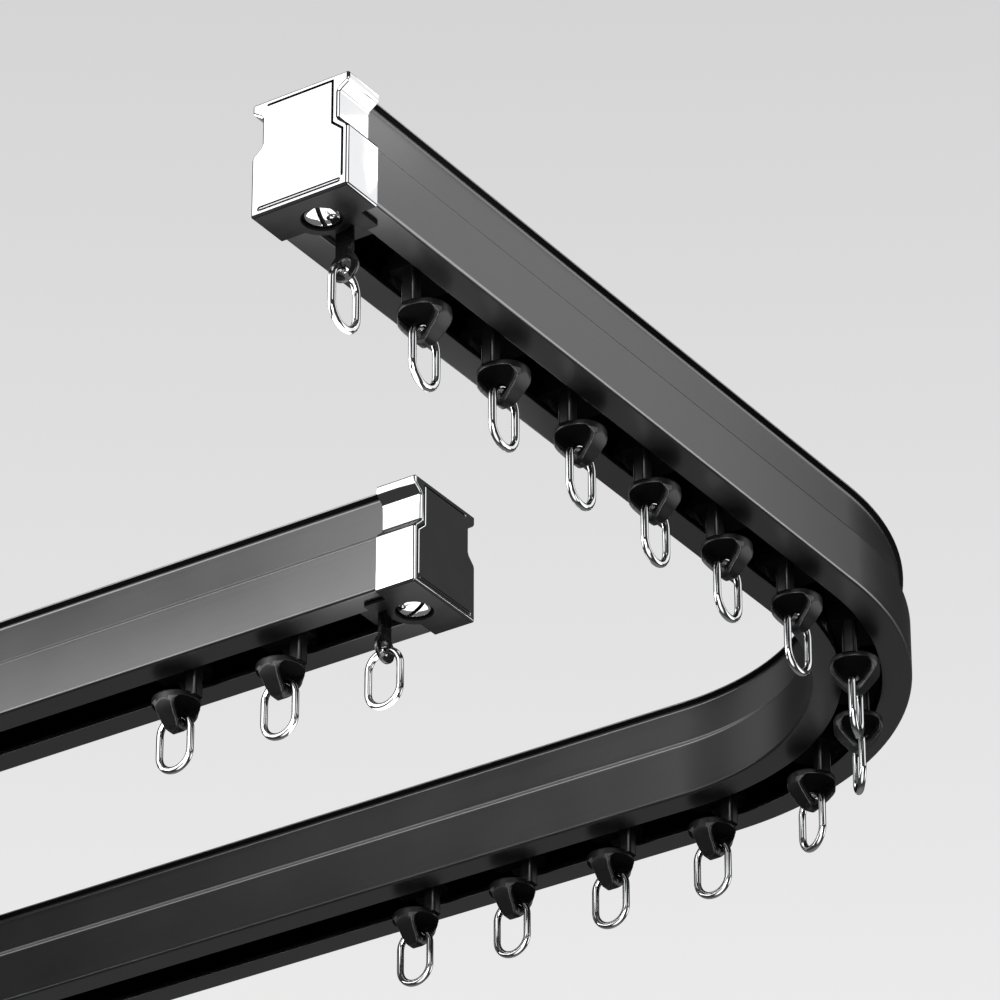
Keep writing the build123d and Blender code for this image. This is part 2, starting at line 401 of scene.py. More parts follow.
def make_hook_black():
    """Glossy black lacquer over stamped steel."""
    material, shader, place = new_finish(
        "hook_black", (0.008, 0.008, 0.009), IOR=1.5, Coat_Weight=0.6, Coat_Roughness=0.05
    )
    flow = noise(place, (1, 1, 0.5), 420.0, 2.0)
    drive(shader, "Base Color", mixed(flow, (0.006, 0.006, 0.007), (0.012, 0.012, 0.013)))
    drive(shader, "Roughness", flow * 0.08 + 0.14)
    relief(shader, flow, 0.00004, 0.3)
    return material


def make_glider_black():
    """Moulded acetal with a fine spark-eroded skin and slightly polished patches."""
    material, shader, place = new_finish("glider_black", (0.008, 0.008, 0.0085), IOR=1.5)
    skin = noise(place, (1, 1, 1), 3600.0, 2.0)
    flow = noise(place, (1, 1, 1), 260.0, 2.0)
    drive(shader, "Base Color", mixed(flow, (0.006, 0.006, 0.0065), (0.01, 0.01, 0.0105)))
    drive(shader, "Roughness", flow * 0.08 + skin * 0.05 + 0.28)
    relief(shader, skin, 0.00002, 0.35)
    return material


def make_glider_painted_highlight():
    """The same moulding painted pale along its ridges, a painted highlight where they catch the light.
    """
    material, shader, place = new_finish("glider_painted_highlight", (0.1, 0.1, 0.1), IOR=1.5)
    highlight_spread = noise(place, (1, 1, 1), 500.0, 2.0)
    drive(shader, "Base Color", mixed(highlight_spread, (0.07, 0.07, 0.07), (0.13, 0.13, 0.13)))
    drive(shader, "Roughness", highlight_spread * 0.1 + 0.3)
    return material


def make_glider_painted_shade():
    """Painted shade: the moulding near black and dead matt where it runs inside the rail and inside
    the loop's opening.
    """
    material, shader, place = new_finish("glider_painted_shade", (0.004, 0.004, 0.004), IOR=1.15)
    skin = noise(place, (1, 1, 1), 3000.0, 2.0)
    drive(shader, "Base Color", mixed(skin, (0.003, 0.003, 0.003), (0.006, 0.006, 0.006)))
    drive(shader, "Roughness", skin * 0.1 + 0.7)
    return material


def make_wheel_nylon_painted_shade():
    """Nylon with a soft sheen, painted near black as shade in the dark slot. The photograph shows
    nothing of the wheels in the slot.
    """
    material, shader, place = new_finish("wheel_nylon", (0.02, 0.02, 0.021), IOR=1.53)
    cloud = noise(place, (1, 1, 1), 300.0, 2.0)
    skin = noise(place, (1, 1, 1), 3000.0, 1.0)
    drive(shader, "Base Color", mixed(cloud, (0.016, 0.016, 0.017), (0.026, 0.026, 0.027)))
    drive(shader, "Roughness", cloud * 0.1 + 0.38)
    relief(shader, skin, 0.00001, 0.3)
    return material


def make_plate_steel():
    """Dark brushed steel for the clamp plates, which hardly show in the slot."""
    material, shader, place = new_finish("plate_steel", (0.05, 0.05, 0.052), Metallic=1.0)
    brush = noise(place, (40, 2500, 2500), 1.0, 3.0)
    drive(shader, "Base Color", mixed(brush, (0.035, 0.035, 0.037), (0.07, 0.07, 0.072)))
    drive(shader, "Roughness", brush * 0.15 + 0.28)
    relief(shader, brush, 0.00001, 0.4)
    return material


# ---------------------------------------------------------------- modelling by hand, in steps


def begin(name, first):
    """Start a piece as a single point in edit mode: a tiny plane merged to its centre."""
    bpy.ops.object.select_all(action="DESELECT")
    bpy.ops.mesh.primitive_plane_add(size=MM)
    piece = bpy.context.object
    piece.name = name
    piece.data.name = name
    bpy.ops.object.mode_set(mode="EDIT")
    bpy.ops.mesh.select_mode(type="VERT")
    bpy.ops.mesh.select_all(action="SELECT")
    bpy.ops.mesh.merge(type="CENTER")
    bpy.ops.transform.translate(value=first)
    return piece


def extrude(move):
    bpy.ops.mesh.extrude_region_move(TRANSFORM_OT_translate={"value": move})


def draw(points):
    """Draw on from the selected point, corner by corner."""
    for here, there in zip(points, points[1:]):
        extrude(there - here)


def draw_face(name, points):
    """Start a piece as one flat face with these corners."""
    piece = begin(name, points[0])
    draw(points + [points[0]])
    bpy.ops.mesh.select_all(action="SELECT")
    bpy.ops.mesh.remove_doubles(threshold=MM * 0.001)
    bpy.ops.mesh.edge_face_add()
    return piece


def pick(kind, passes):
    """Select what passes the test among the points, edges or faces of the piece in edit mode."""
    bpy.ops.mesh.select_mode(type=kind)
    bpy.ops.mesh.select_all(action="DESELECT")
    data = bpy.context.object.data
    mesh = bmesh.from_edit_mesh(data)
    for part in {"VERT": mesh.verts, "EDGE": mesh.edges, "FACE": mesh.faces}[kind]:
        if passes(part):
            part.select_set(True)
    mesh.select_flush_mode()
    bmesh.update_edit_mesh(data)


def round_corners(radius, segments, passes):
    """Round the corners of a flat outline that pass the test."""
    pick("VERT", passes)
    bpy.ops.mesh.bevel(offset=radius * MM, segments=segments, affect="VERTICES")


def extrude_all(move):
    bpy.ops.mesh.select_all(action="SELECT")
    extrude(move)


def close(merge=False):
    """Leave edit mode with every face pointing outwards, and the doubles merged when asked."""
    bpy.ops.mesh.select_all(action="SELECT")
    if merge:
        bpy.ops.mesh.remove_doubles(threshold=MM * 0.002)
    bpy.ops.mesh.normals_make_consistent(inside=False)
    bpy.ops.mesh.select_all(action="DESELECT")
    bpy.ops.object.mode_set(mode="OBJECT")


def choose(piece):
    bpy.ops.object.select_all(action="DESELECT")
    piece.select_set(True)
    bpy.context.view_layer.objects.active = piece


def discard(piece):
    choose(piece)
    bpy.ops.object.delete()


def settle():
    """Put the active object's place, turn and scale into its mesh."""
    bpy.ops.object.transform_apply(location=True, rotation=True, scale=True)


def paint(piece, materials, names, which):
    """Give a piece its finishes, and each face the number that its place and direction call for."""
    for name in names:
        piece.data.materials.append(materials[name])
    for face in piece.data.polygons:
        face.material_index = which(face.center / MM, face.normal)


def apply_modifier(piece, kind, **settings):
    choose(piece)
    bpy.ops.object.modifier_add(type=kind)
    modifier = piece.modifiers[-1]
    for name, value in settings.items():
        setattr(modifier, name, value)
    bpy.ops.object.modifier_apply(modifier=modifier.name)


def combine(piece, tool, operation):
    """Join the tool's shape on to the piece, or cut it out, and throw the tool away."""
    apply_modifier(piece, "BOOLEAN", operation=operation, object=tool, solver="EXACT")
    discard(tool)


def soften(piece, width, segments=2, angle=35, finish=-1, clamp=True):
    """Break every sharp edge by a small radius and shade the piece smooth."""
    apply_modifier(
        piece,
        "BEVEL",
        width=width * MM,
        segments=segments,
        limit_method="ANGLE",
        angle_limit=radians(angle),
        use_clamp_overlap=clamp,
        miter_outer="MITER_ARC",
        material=finish,
    )
    smooth(piece)


def smooth(piece, angle=40):
    choose(piece)
    bpy.ops.object.shade_smooth_by_angle(angle=radians(angle))
    apply_modifier(piece, "WEIGHTED_NORMAL", keep_sharp=True, weight=80)


def lathe(name, profile, centre, axis, steps):
    """Turn a profile of points round an axis through the centre."""
    piece = begin(name, profile[0])
    draw(profile)
    bpy.ops.mesh.select_all(action="SELECT")
    bpy.ops.mesh.spin(steps=steps, angle=2 * pi, center=centre, axis=axis)
    close(merge=True)
    return piece


def block(name, low, high):
    """A box between two corners, as a tool for joining or cutting."""
    bpy.ops.object.select_all(action="DESELECT")
    bpy.ops.mesh.primitive_cube_add(size=1, location=(low + high) / 2, scale=high - low)
    settle()
    bpy.context.object.name = name
    return bpy.context.object


def rod(name, radius, low, high, sides=48):
    """A cylinder between two points on one axis, as a tool for joining or cutting."""
    bpy.ops.object.select_all(action="DESELECT")
    along = high - low
    turn = along.to_track_quat("Z", "Y").to_euler()
    bpy.ops.mesh.primitive_cylinder_add(
        vertices=sides,
        radius=radius * MM,
        depth=along.length,
        location=(low + high) / 2,
        rotation=turn,
    )
    settle()
    bpy.context.object.name = name
    return bpy.context.object


def copy_of(piece, name, x, y, turn):
    """A copy with its own mesh, moved to its place and turned about the vertical."""
    choose(piece)
    bpy.ops.object.duplicate(linked=False)
    copy = bpy.context.object
    copy.name = name
    copy.data.name = name
    copy.location = mm(x, y, 0)
    copy.rotation_euler = (0, 0, radians(turn))
    settle()
    return copy


def hand_over(piece, body, slot, *nodes):
    """Ride on a body of the frame and stand for its CAD nodes. The slot is not used."""
    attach(piece, body)
    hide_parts(*nodes)


def mirrored(half):
    """Close a half outline, listed from one side of the centre, with its mirror image."""
    return [*half, *((-u, v) for u, v in reversed(half))]


def curved(points, steps=4):
    """A smooth curve through these corners, as a longer list of points."""
    ends = [points[0], *points, points[-1]]
    path = []
    for group in zip(ends, ends[1:], ends[2:], ends[3:]):
        for t in (step / steps for step in range(steps)):
            path.append(
                tuple(
                    b + 0.5 * t * (c - a + t * (2 * a - 5 * b + 4 * c - d + t * (3 * (b - c) + d - a)))
                    for a, b, c, d in zip(*group)
                )
            )
    return [*path, points[-1]]


# ---------------------------------------------------------------- rail


def rail_outline():
    """The whole channel: outside from the flange to the slot and back up the inside."""
    slope = SHOULDER_DROP / (BODY - NECK)

    def inner_shoulder(u):
        return -NECK_DEPTH - slope * (u - NECK) - WALL * sqrt(1 + slope**2)

    return mirrored(
        [
            (FLANGE, 0),
            (FLANGE, -FLANGE_EDGE),
            (NECK, -FLANGE_DEPTH),
            (NECK, -NECK_DEPTH),
            (BODY, SHOULDER_FOOT),
            (BODY, RAIL_BOTTOM),
            (SLOT, RAIL_BOTTOM),
            (SLOT, LIP_TOP),
            (BODY - WALL, LIP_TOP),
            (BODY - WALL, inner_shoulder(BODY - WALL)),
            (NECK - WALL, inner_shoulder(NECK - WALL)),
            (NECK - WALL, -WALL),
        ]
    )


def make_rail(materials):
    """One extrusion: drawn once, drawn out along the front run, and bent round to the inner end."""
    rail = draw_face("rail", [mm(FRONT_X + u, FRONT_END_Y, v) for u, v in rail_outline()])
    for u, v, radius, segments in RAIL_ROUNDINGS:
        round_corners(
            radius, segments, lambda p: at(abs(p.co.x - FRONT_X * MM), u) and at(p.co.z, v)
        )
    bpy.ops.mesh.select_all(action="SELECT")
    bpy.ops.mesh.delete(type="ONLY_FACE")
    bpy.ops.mesh.select_mode(type="EDGE")
    bpy.ops.mesh.select_all(action="SELECT")
    extrude(mm(0, FRONT_RUN, 0))
    corner = mm(HALF_BACK, -CORNER_RADIUS, 0)
    bpy.ops.mesh.spin(steps=CORNER_STEPS, angle=-pi / 2, center=corner, axis=(0, 0, 1))
    extrude(mm(-BACK_RUN, 0, 0))
    turn = mm(-HALF_BACK, -RETURN_RADIUS, 0)
    bpy.ops.mesh.spin(steps=RETURN_STEPS, angle=-pi, center=turn, axis=(0, 0, 1))
    extrude(mm(INNER_RUN, 0, 0))
    bpy.ops.mesh.edge_face_add()
    pick("EDGE", lambda e: all(at(p.co.y, FRONT_END_Y) for p in e.verts))
    bpy.ops.mesh.edge_face_add()
    close()
    smooth(rail, 32)
    # Painted shade in the channel and under the flange, painted highlight on the flange edge and the
    # lower corner.
    paint(rail, materials, ("rail_black", "rail_painted_shade", "rail_painted_highlight"), rail_finish)
    runs = ("front_run", "corner_bend", "back_run", "return_bend", "inner_run")
    hand_over(rail, "track", "rail_black", *(f"rail_{run}" for run in runs))


def off_centre(place):
    """How far a point lies from the rail's centre line."""
    if place.x > HALF_BACK and place.y < -CORNER_RADIUS:
        return abs(place.x - FRONT_X)
    if place.x > HALF_BACK:
        from_corner = sqrt((place.x - HALF_BACK) ** 2 + (place.y + CORNER_RADIUS) ** 2)
        return abs(from_corner - CORNER_RADIUS)
    if place.x < -HALF_BACK:
        from_turn = sqrt((place.x + HALF_BACK) ** 2 + (place.y + RETURN_RADIUS) ** 2)
        return abs(from_turn - RETURN_RADIUS)
    return min(abs(place.y), abs(place.y - INNER_Y))


def rail_finish(place, out):
    """The number of a face's finish: 0 outside, 1 painted shade inside and under the flange, 2 a
    painted highlight on its edges.
    """
    ahead = place + out * 0.5
    room = NECK - WALL if ahead.z > -NECK_DEPTH else BODY - WALL
    # Painted shade inside the channel.
    if -WALL > ahead.z > LIP_TOP and off_centre(ahead) < room:
        return 1
    # Painted highlight on the flange's thin edge.
    if abs(out.z) < 0.1 and off_centre(place) > FLANGE - 0.05 and place.z > -FLANGE_EDGE:
        return 2
    # Painted shade on the flange's underside slope.
    if -0.8 < out.z < -0.7 and place.z > -FLANGE_DEPTH:
        return 1
    # Painted highlight on the lower corner's rounding, only where it faces +X, the side that catches
    # the light.
    at_foot = place.z < RAIL_BOTTOM + BOTTOM_ROUNDING
    lower_corner = at_foot and off_centre(place) > BODY - BOTTOM_ROUNDING
    return 2 if lower_corner and -0.72 < out.z < -0.1 and out.x > 0.3 else 0


# ---------------------------------------------------------------- ends


def groove_tool(name, points, radius, depth, proud=0.4):
    """A shallow cutter with rounded corners, standing proud of the cap's outer face."""
    face_y = -CAP_LENGTH - proud
    tool = draw_face(name, [mm(u, face_y, v) for u, v in points])
    round_corners(radius, 3, lambda p: True)
    extrude_all(mm(0, proud + depth, 0))
    close()
    return tool


def box_corners(half, top, low):
    return [(-half, top), (half, top), (half, low), (-half, low)]


def make_end_cap(name, tongue_side, materials):
    """A plated cap with the rail's outline. Its tongue and panel groove lie on the given side."""
    cap = make_cap_shell(name)
    add_cap_foot(cap, tongue_side)
    cut_cap(cap, tongue_side)
    finish_cap(cap, materials, tongue_side)
    return cap


def make_cap_shell(name):
    """The rail's outline a little enlarged, drawn out, with its end and long edges bevelled."""
    half = [
        (CAP_HALF, CAP_TOP),
        (CAP_HALF, CAP_FLANGE_BOTTOM),
        (CAP_NOTCH, CAP_NOTCH_TOP),
        (CAP_NOTCH, CAP_NOTCH_BOTTOM),
        (CAP_HALF, CAP_SHOULDER),
        (CAP_HALF, CAP_BOTTOM),
    ]
    cap = draw_face(name, [mm(u, 0, v) for u, v in mirrored(half)])
    round_corners(CAP_EDGE, 1, lambda p: abs(p.co.x) < (CAP_NOTCH + 0.01) * MM)
    round_corners(CAP_EDGE, 1, lambda p: at(p.co.z, CAP_SHOULDER))
    extrude_all(mm(0, CAP_EDGE - CAP_LENGTH, 0))
    bpy.ops.mesh.inset(thickness=CAP_EDGE * MM, depth=0)
    bpy.ops.transform.translate(value=mm(0, -CAP_EDGE, 0))
    pick("EDGE", long_outer_edge)
    bpy.ops.mesh.bevel(offset=CAP_EDGE * MM, segments=1, affect="EDGES")
    close()
    return cap


def add_cap_foot(cap, tongue_side):
    """The boss round the screw, its key in the rail's slot, the tongue on the lip, and the plug."""
    boss = rod("boss", BOSS_RADIUS, mm(0, SCREW_Y, CAP_BOTTOM), mm(0, SCREW_Y, FOOT_TOP), 72)
    behind = block("behind", mm(-8, -1, CAP_BOTTOM - 1), mm(8, 8, FOOT_TOP + 1))
    combine(boss, behind, "INTERSECT")
    combine(cap, boss, "UNION")
    key_low, key_top = mm(0, SCREW_Y, CAP_BOTTOM + 0.3), mm(0, SCREW_Y, LIP_TOP)
    key = rod("key", BOSS_RADIUS - 0.02, key_low, key_top, 72)
    between = block("between", mm(-4.5, -1, CAP_BOTTOM), mm(4.5, 8, LIP_TOP + 1))
    combine(key, between, "INTERSECT")
    combine(cap, key, "UNION")
    near, far = TONGUE_NEAR * tongue_side, TONGUE_FAR * tongue_side
    outline = [(near, -1), (far, -1), (far, TONGUE_LENGTH), (near, TONGUE_LENGTH)]
    tongue = draw_face("tongue", [mm(u, v, CAP_BOTTOM) for u, v in outline])
    round_corners(0.7, 3, lambda p: at(p.co.y, TONGUE_LENGTH))
    extrude_all(mm(0, 0, FOOT_TOP - CAP_BOTTOM))
    close()
    combine(cap, tongue, "UNION")
    low, high = mm(-PLUG_HALF, -1, PLUG_BOTTOM), mm(PLUG_HALF, PLUG_LENGTH, PLUG_TOP)
    combine(cap, block("plug", low, high), "UNION")


def cut_cap(cap, tongue_side):
    """The screw's recess and bore, and the two grooves in the end face."""
    for name, radius, roof, sides in (
        ("recess", RECESS_RADIUS, CAP_BOTTOM + RECESS_DEPTH, 64),
        ("bore", BORE_RADIUS, LIP_TOP + 1, 40),
    ):
        hollow = rod(name, radius, mm(0, SCREW_Y, CAP_BOTTOM - 1), mm(0, SCREW_Y, roof), sides)
        combine(cap, hollow, "DIFFERENCE")
    top, low = PANEL_OUTER[0][1], PANEL_INNER[-1][1]
    band = [(PANEL_END, top), *PANEL_OUTER, *PANEL_INNER, (PANEL_END, low)]
    panel = [(u * tongue_side, v) for u, v in band]
    combine(cap, groove_tool("panel_groove", panel, 0.14, PANEL_GROOVE_DEPTH), "DIFFERENCE")
    groove = groove_tool("foot_groove", box_corners(*FOOT_GROOVE), 0.45, FOOT_GROOVE_DEPTH)
    island = groove_tool("island", box_corners(*FOOT_ISLAND), 0.19, 1, 0.7)
    combine(groove, island, "DIFFERENCE")
    combine(cap, groove, "DIFFERENCE")


def finish_cap(cap, materials, tongue_side):
    """Bright plating, painted shade on the underside and behind, and painted dark lines of shade in
    the grooves and along the edges.

    On the inner cap, whose tongue is on the other side, the end face's rim stays bright.
    """
    paint(cap, materials, ("cap_chrome", "cap_painted_shade", "painted_shade_line"), cap_finish)
    # Every softened edge takes finish 2, a painted dark line of shade.
    soften(cap, 0.12, 1, 32, finish=2, clamp=False)
    if tongue_side < 0:
        for face in cap.data.polygons:
            rim = face.center.y < (0.1 - CAP_LENGTH) * MM
            if rim and face.material_index == 2 and -0.97 < face.normal.y < -0.5:
                face.material_index = 0


def cap_finish(place, out):
    """The number of a face's finish: 0 bright, 1 painted shade below and behind, 2 a painted dark line
    of shade.
    """
    from_screw = Vector((place.x, place.y - SCREW_Y)).length
    deep = place.y + CAP_LENGTH
    on_shoulder = CAP_SHOULDER - 0.3 < place.z < CAP_NOTCH_BOTTOM + 0.3 and out.z > 0.2
    recess_wall = abs(out.z) < 0.3 and place.z < LIP_TOP and from_screw < RECESS_RADIUS + 0.05
    at_depth = 0.05 < deep < PANEL_GROOVE_DEPTH
    in_panel = abs(place.x) < CAP_HALF - 0.5 and place.z > CAP_BOTTOM + 0.6
    groove_wall = at_depth and in_panel and abs(out.y) < 0.3
    groove_floor = abs(deep - PANEL_GROOVE_DEPTH) < 0.02 and out.y < -0.9
    # Painted shade: a dark line on the shoulder, the screw recess's wall and the panel groove.
    if on_shoulder or recess_wall or groove_floor or groove_wall:
        return 2
    # Painted shade on the downward faces of the foot and on the faces behind the end face.
    below = out.z < -0.9 and place.z < CAP_BOTTOM + 1.4
    behind = place.y > 0.05 and place.z < LIP_TOP
    return 1 if below or behind else 0


def long_outer_edge(edge):
    """An edge that runs along the cap at one of its outer corners."""
    first, second = (p.co for p in edge.verts)
    if abs(first.y - second.y) < 5 * MM:
        return False
    above = first.z > CAP_FLANGE_BOTTOM * MM - CLOSE
    below = first.z < (CAP_BOTTOM + 0.1) * MM
    return at(abs(first.x), CAP_HALF) and (above or below)


def make_cap_screw(name, drive_angle, materials):
    """Slotted dome-head screw, turned on a lathe and slotted."""
    dome = [radians(90 / DOME_STEPS * step) for step in range(DOME_STEPS + 1)]
    profile = [(DOME_RADIUS * sin(a), DOME_FOOT - DOME_HEIGHT * cos(a)) for a in dome]
    profile += [
        (DOME_RADIUS, HEAD_TOP),
        (SHANK_RADIUS, HEAD_TOP),
        (SHANK_RADIUS, SHANK_TOP - SHANK_CHAMFER),
        (SHANK_RADIUS - SHANK_CHAMFER, SHANK_TOP),
        (0, SHANK_TOP),
    ]
    centre = mm(0, SCREW_Y, 0)
    screw = lathe(name, [mm(r, SCREW_Y, z) for r, z in profile], centre, (0, 0, 1), 56)
    bpy.ops.object.select_all(action="DESELECT")
    bpy.ops.mesh.primitive_cube_add(
        size=1,
        location=mm(0, SCREW_Y, DRIVE_FLOOR - DRIVE_CUTTER[2] / 2),
        rotation=(0, 0, radians(90 + drive_angle)),
        scale=mm(*DRIVE_CUTTER),
    )
    settle()
    combine(screw, bpy.context.object, "DIFFERENCE")
    paint(screw, materials, ("screw_chrome", "painted_shade_line"), screw_finish)
    soften(screw, 0.07, 2, 40)
    return screw


def screw_finish(place, out):
    """The number of a face's finish: 0 bright, 1 painted shade on the slot's walls and floor."""
    flat = abs(out.z) < 0.01 or at(place.z * MM, DRIVE_FLOOR)
    return 1 if flat and place.z < DOME_FOOT - 0.05 else 0


def make_end_hook():
    """Flat stamped hanger: a head over the clamp plate, a neck in the slot and a round eye."""
    start = pi / 2 - HOOK_EYE_OPENING
    sweep = pi + 2 * start
    arc = [start - step * sweep / HOOK_EYE_STEPS for step in range(HOOK_EYE_STEPS + 1)]
    round_eye = [(HOOK_EYE_RADIUS * cos(a), HOOK_EYE_Z + HOOK_EYE_RADIUS * sin(a)) for a in arc]
    right = [
        (HOOK_HEAD_HALF, HOOK_HEAD_TOP),
        (HOOK_HEAD_HALF, HOOK_HEAD_LOW),
        (HOOK_NECK_HALF, HOOK_HEAD_LOW),
        (HOOK_NECK_HALF, HOOK_EYE_Z + HOOK_EYE_RISE),
    ]
    left = [(-u, v) for u, v in reversed(right)]
    back = HOOK_Y - HOOK_THICKNESS / 2
    hook = draw_face("hook", [mm(u, back, v) for u, v in right + round_eye + left])
    round_corners(0.5, 3, lambda p: at(p.co.z, HOOK_HEAD_TOP))
    extrude_all(mm(0, HOOK_THICKNESS, 0))
    close()
    before, beyond = mm(0, HOOK_Y - 1, HOOK_EYE_Z), mm(0, HOOK_Y + 1, HOOK_EYE_Z)
    combine(hook, rod("hole", HOOK_HOLE_RADIUS, before, beyond, 40), "DIFFERENCE")
    soften(hook, 0.18, 3, 40)
    return hook


def make_ring(name, top, y):
    """Oval wire link: the wire's round drawn up, spun over, drawn down and spun under."""
    bend = RING_HALF - WIRE
    upper = mm(0, y, top - RING_HALF)
    lower = mm(0, y, top - RING_LENGTH + RING_HALF)
    straight = upper - lower
    bpy.ops.object.select_all(action="DESELECT")
    start = lower + mm(0, bend, 0)
    bpy.ops.mesh.primitive_circle_add(vertices=WIRE_SIDES, radius=WIRE * MM, location=start)
    settle()
    ring = bpy.context.object
    ring.name = name
    bpy.ops.object.mode_set(mode="EDIT")
    bpy.ops.mesh.select_mode(type="EDGE")
    bpy.ops.mesh.select_all(action="SELECT")
    for run, centre in ((straight, upper), (-straight, lower)):
        extrude(run)
        bpy.ops.mesh.spin(steps=RING_BEND_STEPS, angle=-pi, center=centre, axis=(1, 0, 0))
    close(merge=True)
    choose(ring)
    bpy.ops.object.shade_smooth()
    return ring


def make_ends(materials):
    """Both ends: the same parts, with the tongue and the screw slot their own way round."""
    hook = make_end_hook()
    ring = make_ring("end_ring", END_RING_TOP, HOOK_Y)
    hook.data.materials.append(materials["hook_black"])
    ring.data.materials.append(materials["ring_chrome"])
    places = (
        ("front", FRONT_X, FRONT_END_Y, 0, 1, 20),
        ("inner", INNER_END_X, INNER_Y, 90, -1, -24),
    )
    for end, x, y, turn, side, drive_angle in places:
        cap = make_end_cap(f"cap_model_{end}", side, materials)
        screw = make_cap_screw(f"screw_model_{end}", drive_angle, materials)
        for model, name, slot, body in (
            (cap, "end_cap", "cap_chrome", "track"),
            (screw, "cap_screw", "screw_chrome", "track"),
            (hook, "end_hook", "hook_black", "track"),
            (ring, "end_ring", "ring_chrome", f"end_ring_{end}"),
        ):
            piece = copy_of(model, f"{name}_{end}_finished", x, y, turn)
            hand_over(piece, body, slot, f"{name}_{end}")
        discard(cap)
        discard(screw)
        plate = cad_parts[f"clamp_plate_{end}"]
        plate.data.materials.clear()
        plate.data.materials.append(materials["plate_steel"])
    discard(hook)
    discard(ring)


# ---------------------------------------------------------------- gliders


def loop_shape(name, outline, above, seen_from_side=False):
    """The loop's outline seen from the front, or from the side, drawn right through it."""
    half = above + [(u, DISC_BOTTOM - depth) for u, depth in curved(outline)]
    shape = draw_face(name, [mm(u, -LOOP_HALF, v) for u, v in mirrored(half)])
    extrude_all(mm(0, 2 * LOOP_HALF, 0))
    if seen_from_side:
        bpy.ops.mesh.select_all(action="SELECT")
        bpy.ops.transform.rotate(value=pi / 2, orient_axis="Z", center_override=(0, 0, 0))
    close()
    return shape


def make_loop():
    """Disc and strap moulded as one: a rod cut to both outlines, opened, and rubbed smooth."""
    low = mm(0, 0, DISC_BOTTOM - 8)
    loop = rod("loop", DISC_RADIUS, low, mm(0, 0, DISC_TOP), 96)
    rim = [(LOOP_HALF, DISC_TOP + 1), (LOOP_HALF, DISC_BOTTOM)]
    combine(loop, loop_shape("front_shape", STRAP_FRONT, rim[:1]), "INTERSECT")
    combine(loop, loop_shape("side_shape", STRAP_SIDE, rim, True), "INTERSECT")
    combine(loop, loop_shape("opening", LOOP_OPENING, []), "DIFFERENCE")
    apply_modifier(loop, "REMESH", mode="VOXEL", voxel_size=0.19 * MM)
    apply_modifier(loop, "SMOOTH", factor=0.5, iterations=5)
    return loop


def make_glider(materials):
    """Carriage in the rail, post through the slot, and the disc with its loop."""
    far = mm(CARRIAGE_HALF_WIDTH, CARRIAGE_HALF_LENGTH, CARRIAGE_HIGH)
    carriage = block("carriage", mm(-CARRIAGE_HALF_WIDTH, -CARRIAGE_HALF_LENGTH, CARRIAGE_LOW), far)
    soften(carriage, 0.3, 3)
    corners = reversed(box_corners(POST_HALF_X, POST_HALF_Y, -POST_HALF_Y))
    post = draw_face("post", [mm(u, v - POST_SET_BACK, POST_FOOT) for u, v in corners])
    round_corners(0.8, 4, lambda p: True)
    extrude_all(mm(0, 0, POST_HEAD - POST_FOOT))
    close()
    combine(carriage, post, "UNION")
    combine(carriage, make_loop(), "UNION")
    bore = rod("bore", AXLE_BORE_RADIUS, mm(-6, 0, AXLE_Z), mm(6, 0, AXLE_Z), 24)
    combine(carriage, bore, "DIFFERENCE")
    smooth(carriage)
    paint(carriage, materials, ("glider_black", "glider_painted_shade", "glider_painted_highlight"), glider_finish)
    return carriage


def glider_finish(place, out):
    """The number of a face's finish: 0 outside, 1 painted shade in the rail and the loop, 2 a painted
    highlight on the ridges.
    """
    # Painted shade inside the rail, on the loop's roof and on its inner faces.
    roof = place.z > DISC_BOTTOM - 0.4 and out.z < -0.8
    inner_face = place.z < DISC_BOTTOM and out.x * place.x < 0
    if place.z > RAIL_BOTTOM or (abs(place.x) < 4.6 and (roof or inner_face)):
        return 1
    # Painted highlight on the strap's ridges.
    on_strap = abs(place.x) > 1.2 and place.z < DISC_BOTTOM - 0.2 and out.x * place.x > 0
    return 2 if on_strap and 0.3 < abs(out.y) < 0.88 and abs(out.x) > 0.3 else 0


def make_wheelset():
    """Two treaded wheels with recessed faces on one axle, turned as one piece."""
    points = [mm(x, 0, AXLE_Z + radius) for x, radius in mirrored(WHEEL_PROFILE)]
    wheels = lathe("wheels", points, mm(0, 0, AXLE_Z), (1, 0, 0), 32)
    smooth(wheels)
    return wheels


def glider_places():
    """Each glider's place on the track: x, y and its turn about the vertical."""
    pitch = (FRONT_RUN - FRONT_FIRST - FRONT_LAST) / (FRONT_COUNT - 1)
    places = [(FRONT_X, FRONT_END_Y + FRONT_FIRST + i * pitch, 0) for i in range(FRONT_COUNT)]
    for angle in CORNER_ANGLES:
        x = HALF_BACK + CORNER_RADIUS * cos(radians(angle))
        y = -CORNER_RADIUS + CORNER_RADIUS * sin(radians(angle))
        places.append((x, y, angle))
    places += [(HALF_BACK - BACK_FIRST - i * BACK_PITCH, 0, 90) for i in range(BACK_COUNT)]
    places += [(INNER_END_X - FRONT_FIRST - i * INNER_PITCH, INNER_Y, 90) for i in (1, 0)]
    return places


def make_gliders(materials):
    """One glider, wheelset and ring, copied to every place on the track."""
    models = (
        (make_glider(materials), "glider", "glider_black"),
        (make_wheelset(), "wheelset", "wheel_nylon"),
        (make_ring("wire_ring", RING_TOP, 0), "ring", "ring_chrome"),
    )
    for model, name, slot in models:
        if not model.data.materials:
            model.data.materials.append(materials[slot])
        for number, (x, y, turn) in enumerate(glider_places(), start=1):
            node = f"{name}_{number:02d}"
            hand_over(copy_of(model, f"{node}_finished", x, y, turn), node, slot, node)
        discard(model)


# ---------------------------------------------------------------- studio

CAMERA_AZIMUTH = 33.783
CAMERA_PITCH = 30.105
CAMERA_PLACE = (832.78, -1172.36, -736.48)
VIEW_WAY = (-0.4810, 0.7191, 0.5016)
LENS = 229.6
SENSOR = 36.0

